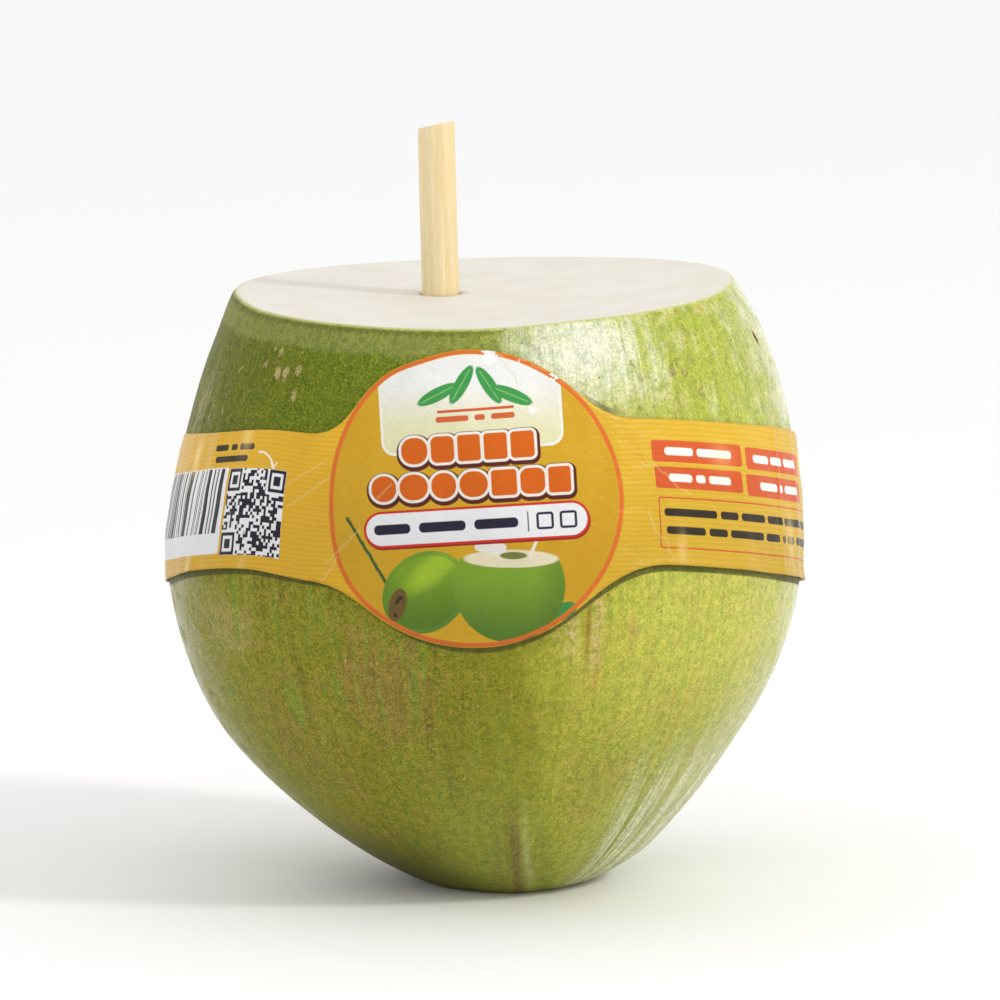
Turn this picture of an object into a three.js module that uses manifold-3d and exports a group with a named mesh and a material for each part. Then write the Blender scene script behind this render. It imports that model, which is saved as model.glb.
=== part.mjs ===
// A young green coconut made ready for drinking. The husk is cut flat on top, a film label is
// wrapped round it, and a straw stands in a hole in the cut face.
//
// Millimetres, +Z up. The origin is on the surface that the fruit rests on, under the middle of
// its widest ring. The round part of the label faces -Y, and +X is to its right.

import * as THREE from "three";
import { mergeVertices } from "three/addons/utils/BufferGeometryUtils.js";
import Module from "manifold-3d";

const wasm = await Module();
wasm.setup();

const { degToRad } = THREE.MathUtils;

// Husk
const HUSK_HEIGHT = 132.3; // from the flat spot to the middle of the cut face
const HUSK_RADIUS = 70.6; // widest ring
const WIDEST_HEIGHT = 76;
const CUT_RADIUS = 55.8;
const CUT_OFFSET = 1; // the cut face's middle lies this far to +X of the widest ring's
const CUT_TILT = degToRad(1.5); // the cut face rises towards +X
const FOOT_RADIUS = 16.5; // flat spot, between its corners
const FOOT_OFFSET = 4.6; // the flat spot's middle, to +X
const TIP_HEIGHT = 36; // below this the fruit turns three-sided and bends to +X
const TIP_BEND = 1.5; // 1 would bend it straight across, and more bends it later
const RIDGE_DIRECTIONS = [-85, 15, 150].map(degToRad); // the first one faces the front
const RIDGE_HEIGHT = 0.16; // at the flat spot, as a share of the ring's radius
const RIDGE_SPREAD = degToRad(28);
const LOWER_ROUNDING = 0.83; // 0.5 would round the part under the widest ring as an ellipse
const UPPER_ROUNDING = 0.8;
const UPPER_POWER = 1.5; // how late the part over the widest ring turns in

// Label
const LABEL_THICKNESS = 0.5;
const LABEL_GAP = 0.35; // film to husk
const LABEL_X = -1.5; // the round part's middle, at the front of the husk
const LABEL_DROP = 36.8; // below the cut face
const LABEL_TILT = degToRad(8.7); // the wrap runs down towards the back
const BAND_HEIGHT = 31.5;
const MEDALLION_RADIUS = 33;
const FILLET_LEFT = 4; // between the band and the round part
const FILLET_RIGHT = 10;

// Straw
const STRAW_RADIUS = 4.1;
const STRAW_WALL = 0.6;
const STRAW_SHOWN = 37.5; // above the cut face, on the straw's axis
const STRAW_DEPTH = 72; // below the cut face
const STRAW_X = -9.6; // where it enters the cut face
const STRAW_Y = -2.5;
const STRAW_LEAN = degToRad(-1.6); // its top leans to -X
const STRAW_CUT_RISE = Math.tan(degToRad(11)); // the top is cut on a slant, rising to +X ...
const STRAW_CUT_FALL = Math.tan(degToRad(8)); // ... and falling to the back
const STRAW_CLEARANCE = 0.3; // to the side of the hole in the husk
const HOLE_BELOW_STRAW = 8; // the hole goes on past the straw's lower end

// Fineness of the meshes
const HUSK_SEGMENTS = 72; // 5 degrees each, so that the ridges lie on them
const LOWER_ROWS = 12;
const UPPER_ROWS = 9;
const STRAW_SEGMENTS = 28;
const ARC_SEGMENTS = 12;

// ---- Solids ----

function solidOf(geometry) {
  const bare = geometry.clone();
  bare.deleteAttribute("normal");
  bare.deleteAttribute("uv");
  const merged = mergeVertices(bare, 1e-4);
  const corners = merged.index.array;
  const triVerts = [];
  for (let i = 0; i < corners.length; i += 3) {
    const [a, b, c] = corners.slice(i, i + 3);
    if (a !== b && b !== c && c !== a) triVerts.push(a, b, c);
  }
  const vertProperties = merged.attributes.position.array;
  return new wasm.Manifold(
    new wasm.Mesh({ numProp: 3, vertProperties, triVerts: new Uint32Array(triVerts) }),
  );
}

function geometryOf(solid) {
  const { numProp, vertProperties, triVerts } = solid.getMesh();
  const geometry = new THREE.BufferGeometry();
  const position = new THREE.InterleavedBuffer(vertProperties, numProp);
  geometry.setAttribute("position", new THREE.InterleavedBufferAttribute(position, 3, 0));
  geometry.setIndex(new THREE.BufferAttribute(triVerts, 1));
  const flat = geometry.toNonIndexed();
  flat.computeVertexNormals();
  return flat;
}

// A profile of [radius, height] points turned round the Z axis.
function turned(profile, segments) {
  const points = profile.map(([radius, height]) => new THREE.Vector2(radius, height));
  return new THREE.LatheGeometry(points, segments).rotateX(Math.PI / 2);
}

function moveVertices(geometry, move) {
  const position = geometry.attributes.position;
  const vertex = new THREE.Vector3();
  for (let i = 0; i < position.count; i += 1) {
    move(vertex.fromBufferAttribute(position, i));
    position.setXYZ(i, vertex.x, vertex.y, vertex.z);
  }
  return geometry;
}

// ---- Husk ----

// 0 at the widest ring, 1 at the cut face.
function shareAbove(height) {
  return Math.max(0, (height - WIDEST_HEIGHT) / (HUSK_HEIGHT - WIDEST_HEIGHT));
}

// 0 where the three-sided tip begins, 1 at the flat spot.
function shareInTip(height) {
  return Math.max(0, 1 - height / TIP_HEIGHT);
}

// 1 on a ridge's crest, and less away from it.
function shareOnRidge(angle) {
  const shares = RIDGE_DIRECTIONS.map((direction) => {
    const away = Math.acos(Math.cos(angle - direction));
    return Math.exp(-away / RIDGE_SPREAD);
  });
  return Math.max(...shares);
}

function huskRadius(height) {
  if (height < WIDEST_HEIGHT) {
    const below = 1 - height / WIDEST_HEIGHT;
    return FOOT_RADIUS + (HUSK_RADIUS - FOOT_RADIUS) * (1 - below ** 2) ** LOWER_ROUNDING;
  }
  const above = shareAbove(height);
  return CUT_RADIUS + (HUSK_RADIUS - CUT_RADIUS) * (1 - above ** UPPER_POWER) ** UPPER_ROUNDING;
}

// Rings are closest together at the flat spot and at the cut face, where the husk curves most.
function huskHeights() {
  const heights = [];
  for (let i = 0; i < LOWER_ROWS; i += 1) {
    heights.push(WIDEST_HEIGHT * (1 - Math.cos((i / LOWER_ROWS) * (Math.PI / 2))));
  }
  for (let i = 0; i <= UPPER_ROWS; i += 1) {
    const above = Math.sin((i / UPPER_ROWS) * (Math.PI / 2));
    heights.push(WIDEST_HEIGHT + (HUSK_HEIGHT - WIDEST_HEIGHT) * above);
  }
  return heights;
}

// The cut face's height over the resting surface at a distance to +X.
function cutHeight(x) {
  return HUSK_HEIGHT + (x - CUT_OFFSET) * Math.tan(CUT_TILT);
}

// Takes a point of the round, upright fruit to where it is on the real one.
function shapeHusk(point) {
  const tip = shareInTip(point.z);
  const above = shareAbove(point.z);
  const ridge = 1 + RIDGE_HEIGHT * tip ** 2 * shareOnRidge(Math.atan2(point.y, point.x));
  const tilted = above ** 2 * Math.tan(CUT_TILT) * point.x;
  const bend = FOOT_OFFSET * tip ** TIP_BEND + CUT_OFFSET * (1 - (1 - above) ** 2);
  point.x = point.x * ridge + bend;
  point.y *= ridge;
  point.z += tilted;
}

function huskSolid() {
  const ring = huskHeights().map((height) => [huskRadius(height), height]);
  const profile = [[0, 0], ...ring, [0, HUSK_HEIGHT]];
  return solidOf(moveVertices(turned(profile, HUSK_SEGMENTS), shapeHusk));
}

// ---- Straw ----

// The straw's own frame: its axis is Z, and it enters the cut face at the origin.
function strawFrame() {
  const frame = new THREE.Group();
  frame.position.set(STRAW_X, STRAW_Y, cutHeight(STRAW_X));
  frame.rotation.y = STRAW_LEAN;
  frame.updateMatrix();
  return frame;
}

function strawGeometry() {
  const bore = STRAW_RADIUS - STRAW_WALL;
  const tube = turned(
    [
      [bore, -STRAW_DEPTH],
      [STRAW_RADIUS, -STRAW_DEPTH],
      [STRAW_RADIUS, STRAW_SHOWN],
      [bore, STRAW_SHOWN],
      [bore, -STRAW_DEPTH],
    ],
    STRAW_SEGMENTS,
  );
  return moveVertices(tube, (point) => {
    if (point.z > 0) point.z += STRAW_CUT_RISE * point.x - STRAW_CUT_FALL * point.y;
  });
}

function strawHole() {
  const radius = STRAW_RADIUS + STRAW_CLEARANCE;
  const floor = -STRAW_DEPTH - HOLE_BELOW_STRAW;
  const profile = [
    [0, floor],
    [radius, floor],
    [radius, STRAW_SHOWN],
    [0, STRAW_SHOWN],
  ];
  return solidOf(turned(profile, STRAW_SEGMENTS).applyMatrix4(strawFrame().matrix));
}

// ---- Label ----

// A sleeve of film round the whole side of the husk.
function sleeveSolid() {
  const heights = huskHeights();
  const inside = heights.map((height) => [huskRadius(height) + LABEL_GAP, height]);
  const outside = inside.map(([radius, height]) => [radius + LABEL_THICKNESS, height]);
  const profile = [...outside, ...inside.reverse(), outside[0]];
  return solidOf(moveVertices(turned(profile, HUSK_SEGMENTS), shapeHusk));
}

// The hollow arc that joins the band's edge to the round part. side is -1 or 1 along X, and edge
// is -1 at the band's lower edge and 1 at its upper one.
function joinArc(side, edge, fillet) {
  const rise = BAND_HEIGHT / 2 + fillet;
  const run = Math.sqrt((MEDALLION_RADIUS + fillet) ** 2 - rise ** 2);
  return {
    x: side * run,
    y: edge * rise,
    radius: fillet,
    atBand: (-edge * Math.PI) / 2,
    atMedallion: Math.atan2(-edge * rise, -side * run),
    onMedallion: Math.atan2(edge * rise, side * run),
  };
}

// The round part with its four joining arcs, closed inside the band.
function medallionOutline() {
  const outline = new THREE.Shape();
  const toMedallion = (arc) =>
    outline.absarc(arc.x, arc.y, arc.radius, arc.atBand, arc.atMedallion, true);
  const toBand = (arc) =>
    outline.absarc(arc.x, arc.y, arc.radius, arc.atMedallion, arc.atBand, true);
  for (const side of [1, -1]) {
    const first = joinArc(-side, -side, side > 0 ? FILLET_LEFT : FILLET_RIGHT);
    const second = joinArc(side, -side, side > 0 ? FILLET_RIGHT : FILLET_LEFT);
    toMedallion(first);
    outline.absarc(0, 0, MEDALLION_RADIUS, first.onMedallion, second.onMedallion, false);
    toBand(second);
  }
  outline.closePath();
  return outline;
}

function labelSolid() {
  const reach = 2 * HUSK_RADIUS;
  const labelHeight = HUSK_HEIGHT - LABEL_DROP;
  const toAxis = huskRadius(labelHeight);
  const frame = new THREE.Group();
  frame.position.set(LABEL_X, -toAxis, labelHeight);
  frame.rotation.x = -LABEL_TILT;
  frame.updateMatrix();

  const band = new THREE.BoxGeometry(2 * reach, 2 * reach, BAND_HEIGHT);
  const medallion = new THREE.ExtrudeGeometry(medallionOutline(), {
    depth: toAxis + reach,
    bevelEnabled: false,
    curveSegments: ARC_SEGMENTS,
  });
  medallion.translate(0, 0, -toAxis).rotateX(Math.PI / 2);
  const outline = solidOf(band.applyMatrix4(frame.matrix)).add(
    solidOf(medallion.applyMatrix4(frame.matrix)),
  );
  return sleeveSolid().intersect(outline);
}

// ---- Assembly ----

function piece(name, geometry, color, roughness) {
  const material = new THREE.MeshStandardMaterial({ color, roughness, metalness: 0 });
  const mesh = new THREE.Mesh(geometry, material);
  mesh.name = name;
  return mesh;
}

const husk = geometryOf(huskSolid().subtract(strawHole()));
const straw = strawFrame();
straw.add(piece("straw", strawGeometry(), 0xead4a4, 0.7));

const coconut = new THREE.Group();
coconut.add(piece("coconut", husk, 0x87873a, 0.5));
coconut.add(piece("wrap_label", geometryOf(labelSolid()), 0xd9a63a, 0.35));
coconut.add(straw);

export default coconut;
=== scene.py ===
"""A young green coconut with a flat cut top, a printed film label round it and a straw in it.

Shapes are worked out in millimetres and written in metres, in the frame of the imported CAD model:
+Z up, the round part of the label facing -Y.
"""

import math
from types import SimpleNamespace

import bpy
import numpy as np
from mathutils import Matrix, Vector


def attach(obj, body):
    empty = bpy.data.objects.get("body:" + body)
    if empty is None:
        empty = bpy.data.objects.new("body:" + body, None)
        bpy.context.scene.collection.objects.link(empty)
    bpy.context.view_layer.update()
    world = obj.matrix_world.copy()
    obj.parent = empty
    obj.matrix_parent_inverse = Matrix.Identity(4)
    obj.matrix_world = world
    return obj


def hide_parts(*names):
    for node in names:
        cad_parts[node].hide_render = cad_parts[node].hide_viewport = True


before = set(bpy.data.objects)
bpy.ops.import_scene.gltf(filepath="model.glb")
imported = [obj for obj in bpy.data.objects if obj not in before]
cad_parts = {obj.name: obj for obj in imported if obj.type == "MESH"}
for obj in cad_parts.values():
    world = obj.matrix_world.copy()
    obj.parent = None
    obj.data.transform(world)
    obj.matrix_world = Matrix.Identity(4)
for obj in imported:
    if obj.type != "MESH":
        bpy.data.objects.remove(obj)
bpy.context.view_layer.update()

MM = 0.001

# ---- Sizes, as in the CAD model, in millimetres ----

HUSK_HEIGHT = 132.3
HUSK_RADIUS = 70.6
WIDEST_HEIGHT = 76.0
CUT_RADIUS = 55.8
CUT_OFFSET = 1.0
CUT_SLOPE = math.tan(math.radians(1.5))
FOOT_RADIUS = 16.5
FOOT_OFFSET = 4.6
TIP_HEIGHT = 36.0
RIDGES = [math.radians(a) for a in (-85, 15, 150)]
RIDGE_HEIGHT = 0.16
RIDGE_SPREAD = math.radians(28)

LABEL_X = -1.5
LABEL_Z = 95.5
LABEL_TILT = math.radians(8.7)
FILM_LIFT = 0.5  # film to husk, over the middle of the film
FILM_THICKNESS = 0.16

STRAW_RADIUS = 4.1
STRAW_WALL = 0.6
STRAW_SHOWN = 37.5
STRAW_DEPTH = 72.0
STRAW_ENTRY = np.array([-9.6, -2.5, HUSK_HEIGHT + (-9.6 - CUT_OFFSET) * CUT_SLOPE])
STRAW_LEAN = math.radians(-1.6)
STRAW_RISE = math.tan(math.radians(11))
STRAW_FALL = math.tan(math.radians(8))
HOLE_RADIUS = 4.4
HOLE_DEPTH = 80.0

# Fineness
HUSK_COLUMNS = 360  # one a degree, so that the ridges lie on them
SIDE_ROWS = 190
CUT_ROWS = 26
FILM_COLUMNS = 720
FILM_ROWS = 60
STRAW_COLUMNS = 96
STRAW_ROWS = 60


# ---- Meshes ----


def mesh_of_rows(name, rows, closed, attributes, materials, row_material=None):
    """rows is an array (row, column, xyz) in mm, round in its columns. Where closed, the last
    row joins the first one. Otherwise both end rows are points, the middles of two caps."""
    count, columns = rows.shape[:2]
    index = np.arange(count * columns).reshape(count, columns)
    after = np.roll(index, -1, axis=1)
    last = count if closed else count - 1
    up = np.roll(index, -1, axis=0), np.roll(after, -1, axis=0)
    quads = np.stack([index, after, up[1], up[0]], axis=-1)[:last].reshape(-1, 4)
    verts = rows.reshape(-1, 3)
    if not closed:  # each end row becomes one vertex
        quads[quads < columns] = 0
        quads[quads >= (count - 1) * columns] = (count - 1) * columns
    faces, slots = [], []
    for i, quad in enumerate(quads.tolist()):
        face = list(dict.fromkeys(quad))
        if len(face) > 2:
            faces.append(face)
            slots.append(row_material[i // columns] if row_material else 0)
    used = np.unique(np.concatenate([np.array(f) for f in faces]))
    place = np.full(len(verts), -1)
    place[used] = np.arange(len(used))
    faces = [[int(place[v]) for v in face] for face in faces]

    mesh = bpy.data.meshes.new(name)
    mesh.from_pydata((verts[used] * MM).tolist(), [], faces)
    mesh.polygons.foreach_set("material_index", np.array(slots, dtype=np.int32))
    mesh.polygons.foreach_set("use_smooth", np.ones(len(faces), dtype=bool))
    for key, values in attributes.items():
        layer = mesh.attributes.new(key, "FLOAT_VECTOR", "POINT")
        flat = values.reshape(-1, 3)[used].astype(np.float32)
        layer.data.foreach_set("vector", flat.ravel())
    mesh.validate()
    mesh.update()
    for material in materials:
        mesh.materials.append(material)
    made = bpy.data.objects.new(name, mesh)
    bpy.context.collection.objects.link(made)
    return made


def smoothstep(x, low, high):
    t = np.clip((x - low) / (high - low), 0, 1)
    return t * t * (3 - 2 * t)


def around(angle, keys):
    """A smooth curve round the fruit through a few (degrees, value) points."""
    at = np.array([k[0] for k in keys], dtype=float)
    value = np.array([k[1] for k in keys], dtype=float)
    at = np.concatenate([at - 360, at, at + 360])
    value = np.tile(value, 3)
    slope = np.gradient(value, at)
    degrees = np.degrees(angle)
    i = np.clip(np.searchsorted(at, degrees, side="right") - 1, 0, len(at) - 2)
    width = at[i + 1] - at[i]
    t = (degrees - at[i]) / width
    return (
        value[i] * (1 + 2 * t) * (1 - t) ** 2
        + slope[i] * width * t * (1 - t) ** 2
        + value[i + 1] * (3 - 2 * t) * t**2
        + slope[i + 1] * width * (t - 1) * t**2
    )


# ---- Husk ----

# Where the real fruit is fuller or leaner than the CAD model: direction in degrees, height and
# its spread, and how far, in mm. Each one fades over BULGE_SPREAD degrees.
BULGES = [(180, 36, 15, 1.0), (0, 7, 6, 0.9), (0, 105, 16, 0.7), (180, 106, 18, -0.2)]
BULGES += [(0, 133, 8, -1.6), (180, 124, 7, -0.3), (180, 133, 5, 0.4)]
BULGE_SPREAD = 40
CUT_HOLLOW = 1.5  # the cut face's left and right ends are this much higher than its middle
CUT_DROP = 1.2  # and its front this much lower
CUT_LIP = [(0.003, 0.16), (0.008, 0.22)]  # its edge: share of the way in, and mm up
FOOT_HOLLOW = 0.5
PLEAT_HEIGHT = 0.38
HOLE_ROWS = (0.5, 1.5, 4, 12, 40, HOLE_DEPTH)  # depths in mm


def share_above(height):
    return np.maximum(0, (height - WIDEST_HEIGHT) / (HUSK_HEIGHT - WIDEST_HEIGHT))


def share_in_tip(height):
    return np.maximum(0, 1 - height / TIP_HEIGHT)


def husk_radius(height):
    below = np.clip(1 - height / WIDEST_HEIGHT, 0, 1)
    above = np.clip(share_above(height), 0, 1)
    lower = FOOT_RADIUS + (HUSK_RADIUS - FOOT_RADIUS) * (1 - below**2) ** 0.83
    upper = CUT_RADIUS + (HUSK_RADIUS - CUT_RADIUS) * (1 - above**1.5) ** 0.8
    return np.where(height < WIDEST_HEIGHT, lower, upper)


def share_on_ridge(theta):
    shares = [np.exp(-np.arccos(np.cos(theta - r)) / RIDGE_SPREAD) for r in RIDGES]
    return np.max(shares, axis=0)


def cut_hollow(x, y):
    """How far the cut face stands over the flat one of the CAD model, in mm."""
    drop = CUT_DROP * smoothstep(-y, 0, 28) * (1 - 0.55 * smoothstep(x, -5, 25))
    return CUT_HOLLOW * (x / CUT_RADIUS) ** 2 - drop


def shape_husk(radius, theta, height):
    """From the round, upright fruit to the real one."""
    x, y = radius * np.cos(theta), radius * np.sin(theta)
    tip, above = share_in_tip(height), share_above(height)
    ridge = 1 + RIDGE_HEIGHT * tip**2 * share_on_ridge(theta)
    bend = FOOT_OFFSET * tip**1.5 + CUT_OFFSET * (1 - (1 - above) ** 2)
    lifted = above**2 * CUT_SLOPE * x + above**3 * cut_hollow(x, y)
    return np.stack([x * ridge + bend, y * ridge, height + lifted], axis=-1)


def pleats(theta, height):
    """Gathered stripes in the lower right of the husk: their height, -1 to 1, and how strong."""
    degrees = np.degrees(theta)
    across = degrees + 0.12 * height
    wave = np.sin(across * 0.62) + 0.6 * np.sin(across * 1.07 + 1) + 0.4 * np.sin(across * 1.9)
    strong = smoothstep(degrees, -62, -40) * smoothstep(-degrees, 2, 18)
    strong = strong * smoothstep(-height, -44, -16)
    return wave / 1.6, strong


def relief(theta, height):
    """What the husk stands out from its round shape, in mm."""
    lumps = 0.12 * np.sin(2 * theta + 0.7) * np.sin(height / 23)
    lumps += 0.10 * np.sin(5 * theta + height / 31)
    for direction, middle, spread, high in BULGES:
        off = np.degrees(np.arccos(np.cos(theta - math.radians(direction))))
        bell = np.exp(-((off / BULGE_SPREAD) ** 2) - ((height - middle) / spread) ** 2)
        lumps = lumps + high * bell
    ribs = 0.05 * np.sin(37 * theta + 1.3 * np.sin(height / 19))
    ribs += 0.04 * np.sin(61 * theta + 1.1 * np.sin(height / 27) + 2)
    wave, strong = pleats(theta, height)
    tip = share_in_tip(height)
    off = np.degrees(theta - RIDGES[0])
    hollow = -0.8 * tip * np.exp(-(((off + 7) / 5) ** 2))
    seam = 0.35 * tip * np.exp(-((off / 1.5) ** 2))
    quiet = smoothstep(height, 0, 4)
    return (lumps + ribs + PLEAT_HEIGHT * wave * strong + hollow + seam) * quiet


def skin(theta, height, lift=0.0):
    """A point of the husk's side, lift mm out from it."""
    radius = husk_radius(height) + relief(theta, height) + lift
    return shape_husk(radius, theta, height)


def straw_frame(points):
    """From the straw's own frame, axis Z and origin where it enters the cut, to the fruit's."""
    x, y, z = np.moveaxis(points, -1, 0)
    c, s = math.cos(STRAW_LEAN), math.sin(STRAW_LEAN)
    return np.stack([x * c + z * s, y, z * c - x * s], axis=-1) + STRAW_ENTRY


def cut_waves(x, y):
    """The knife's marks on the cut face."""
    return 0.14 * np.sin(x / 9 + 0.6) * np.sin(y / 13 + 1) + 0.05 * np.sin(y / 2.3 + x / 31)


def foot_rows(lowest):
    """The small foot, from its middle out to the side's lowest row."""
    middle = np.array([FOOT_OFFSET, 0, 0])
    rows = []
    for share in (0, 0.3, 0.6, 0.85):
        row = lowest * share + middle * (1 - share)
        row[:, 2] = FOOT_HOLLOW * (1 - share**2) * (1 - share)
        rows.append(row)
    return rows


def cut_rows(edge, hole):
    """The cut face, from just inside its edge to the straw's hole."""
    rows = []
    for share in np.linspace(0, 1, CUT_ROWS)[1:]:
        row = edge * (1 - share) + hole * share
        x, y = row[:, 0], row[:, 1]
        wave = cut_waves(x, y) * min(1, 8 * share) * min(1, 12 * (1 - share))
        flat = HUSK_HEIGHT + (x - CUT_OFFSET) * CUT_SLOPE + cut_hollow(x, y)
        row[:, 2] += (flat - row[:, 2]) * min(1, 10 * share) * min(1, 6 * (1 - share)) + wave
        rows.append(row)
    return rows


def hole_ring(theta, depth):
    """A ring of the straw's hole, this far below the cut."""
    x, y = HOLE_RADIUS * np.cos(theta), HOLE_RADIUS * np.sin(theta)
    return straw_frame(np.stack([x, y, np.full(len(theta), -float(depth))], axis=-1))


def coconut_rows():
    """The mesh's columns, the heights of its side's rows, all rows, their materials, and how
    many rows come before the side."""
    theta = np.radians(np.arange(HUSK_COLUMNS) * 360 / HUSK_COLUMNS - 180)
    t = np.linspace(0, 1, SIDE_ROWS)
    heights = HUSK_HEIGHT * (0.62 * t + 0.38 * (1 - np.cos(t * math.pi)) / 2)
    heights[-1] = HUSK_HEIGHT
    grid_h, grid_t = np.meshgrid(heights, theta, indexing="ij")
    side = skin(grid_t, grid_h)
    foot = foot_rows(side[0])
    rim_middle = np.array([CUT_OFFSET, 0, HUSK_HEIGHT])
    edge = [side[-1] * (1 - s) + rim_middle * s + [0, 0, high] for s, high in CUT_LIP]
    hole = hole_ring(theta, 0)
    hole[:, 2] += 0.05 * np.sin(5 * theta)
    wall = [hole_ring(theta, depth) for depth in HOLE_ROWS]
    floor = wall[-1].mean(axis=0) + 0 * wall[-1]
    rows = np.stack([*foot, *side, *edge, *cut_rows(edge[-1], hole), *wall, floor])
    skin_rows = len(foot) + len(side) - 1
    materials = [0] * skin_rows + [1] * (len(rows) - skin_rows)
    return theta, heights, rows, materials, len(foot)


def film_height(theta, sign):
    """The height of the film's upper (1) or lower (-1) edge at each of the husk's columns."""
    azimuth = (theta + math.pi / 2 + math.pi) % (2 * math.pi) - math.pi
    return film_point(azimuth, film_edge(azimuth, sign), FILM_LIFT)[:, 2]


def build_coconut():
    theta, heights, rows, materials, first = coconut_rows()
    count = len(rows)
    level = np.full(count, HUSK_HEIGHT)
    level[:first] = 0
    level[first : first + len(heights)] = heights
    grid_h, grid_t = np.meshgrid(level, theta, indexing="ij")
    wave, strong = pleats(grid_t, grid_h)
    off_ridge = (grid_t - RIDGES[0]) * husk_radius(grid_h)
    to_rim = np.zeros_like(grid_h)
    past_rim = first + len(heights)
    to_rim[past_rim:] = np.linalg.norm(rows[past_rim:] - rows[past_rim - 1], axis=-1)
    under_film = film_height(theta, -1) - rows[..., 2]
    over_film = rows[..., 2] - film_height(theta, 1)
    attributes = {
        "meridian": np.stack([np.cos(grid_t), np.sin(grid_t), grid_h / 100], axis=-1),
        "tip": np.stack([off_ridge / 10, wave, strong], axis=-1),
        "cut": np.stack([to_rim / 10, under_film, over_film], axis=-1),
    }
    looks = [skin_material(), flesh_material()]
    return mesh_of_rows("young_coconut", rows, False, attributes, looks, materials)


# ---- Label ----

# Where the film's edges are: degrees from the front, and mm from its middle line.
BAND_TOP = [(-165, 15.2), (-125, 14.8), (-92, 15.3), (-78, 15.1), (-65, 15.2), (-46, 15.7)]
BAND_TOP += [(-31, 14.4), (0, 15.5), (31, 17.3), (50, 16.5), (70, 15.6), (90, 14.6), (135, 14.8)]
BAND_FOOT = [(-165, -16.2), (-125, -17.5), (-92, -17.8), (-78, -17.0), (-65, -15.7)]
BAND_FOOT += [(-46, -15.3), (-31, -18.0), (0, -16), (31, -14.3), (50, -15.2), (70, -16.6)]
BAND_FOOT += [(90, -17.5), (135, -17)]
# The round part's radius at directions from its middle, in degrees from its right.
MEDALLION = [(0, 32.2), (24, 31.7), (44, 31.8), (60, 32.1), (82, 33.2), (96, 33.8), (112, 33.9)]
MEDALLION += [(123, 34.5), (140, 33.8), (155, 33.0), (180, 32.4), (216, 34.0), (241, 33.2)]
MEDALLION += [(266, 32.6), (295, 32.5), (320, 32.4)]
# Fillets between the band and the round part: left, upper right and lower right
FILLETS = (7.0, 8.0, 12.0)
EDGE_PASSES = 24  # enough for the edge to settle, each one this share of the way
EDGE_STRIDE = 0.6
LEVEL_PASSES = 12
FAR = 99.0
# Upright folds: arc from the front and lean, width and height in mm
FOLDS = [(-76, 0.1, 2.4, 0.45), (-61, -0.2, 1.8, 0.22), (44, -0.5, 0.9, 0.25)]
FOLDS += [(85, 0.05, 1.0, 0.4), (96, 0.1, 2.5, 0.4), (120, -0.2, 1.6, 0.4)]
FOLDS += [(-118, 0.3, 1.5, 0.4), (-150, -0.1, 1.2, 0.4)]
SEAM_HALF = 4.5  # the film's ends overlap at the back, to this side of its middle
SEAM_STEP = 0.2
LEAST_LIFT = 0.3


def smooth_min(a, b, blend):
    """The smaller of two distances, with a fillet where they cross."""
    h = np.maximum(blend - np.abs(a - b), 0) / blend
    return np.minimum(a, b) - h * h * blend / 4


def film_point(azimuth, level, lift):
    """The film's point at an azimuth from the front, + to the right, at a level over the
    film's tilted middle line and at a lift out from the husk."""
    theta = azimuth - math.pi / 2
    front_y = -float(husk_radius(np.array(LABEL_Z)))
    height = LABEL_Z + level
    for _ in range(LEVEL_PASSES):
        y = skin(theta, height, lift)[..., 1]
        height = LABEL_Z + (level - (y - front_y) * math.sin(LABEL_TILT)) / math.cos(LABEL_TILT)
    return skin(theta, height, lift)


def film_edge(azimuth, sign):
    """The film's upper (1) or lower (-1) edge at each azimuth."""
    band = sign * around(azimuth, BAND_TOP if sign > 0 else BAND_FOOT)
    front = np.abs(azimuth) < math.pi / 2
    edge = band
    for _ in range(EDGE_PASSES):
        x = film_point(azimuth, sign * edge, FILM_LIFT)[:, 0] - LABEL_X
        disc = np.hypot(x, edge) - around(np.arctan2(sign * edge, x), MEDALLION)
        fillet = np.where(x < 0, FILLETS[0], FILLETS[1] if sign > 0 else FILLETS[2])
        beyond = smooth_min(np.where(front, disc, FAR), edge - band, fillet)
        edge = edge - EDGE_STRIDE * beyond
    return sign * edge


def film_ripple(arc, level):
    """Soft waves and folds of the film, in mm."""
    wave = 0.10 * np.sin(arc / 5.1) * np.sin(level / 7 + 1) + 0.08 * np.sin(arc / 2.9 + level / 5)
    wave += 0.05 * np.sin(level / 1.6 + 0.8 * np.sin(arc / 8))
    for at, lean, width, high in FOLDS:
        along = arc - at - lean * level
        wave = wave + high * np.exp(-((along / width) ** 2))
    return wave


def film_lift(turn, arc, level, to_top, to_foot, back):
    """How far the film's outer face stands out from the husk, in mm."""
    degrees = np.degrees(turn)
    flare = 0.9 * np.exp(-to_foot / 2.4) + 0.2 * np.exp(-to_top / 2.0)
    flare *= 1 + 0.35 * np.sin(arc / 6.5) + 0.2 * np.sin(arc / 2.7 + 1)
    flare *= 1 - 0.8 * np.exp(-(((degrees + 86) / 18) ** 2))
    overlap = SEAM_STEP * smoothstep(-back, -SEAM_HALF, -SEAM_HALF + 0.3)
    hug = np.exp(-to_top / 6) * np.exp(-(((degrees + 88) / 20) ** 2))
    lift = FILM_LIFT + film_ripple(arc, level) + flare + overlap
    return np.maximum(lift * (1 - hug) + 0.2 * hug, LEAST_LIFT)


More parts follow.
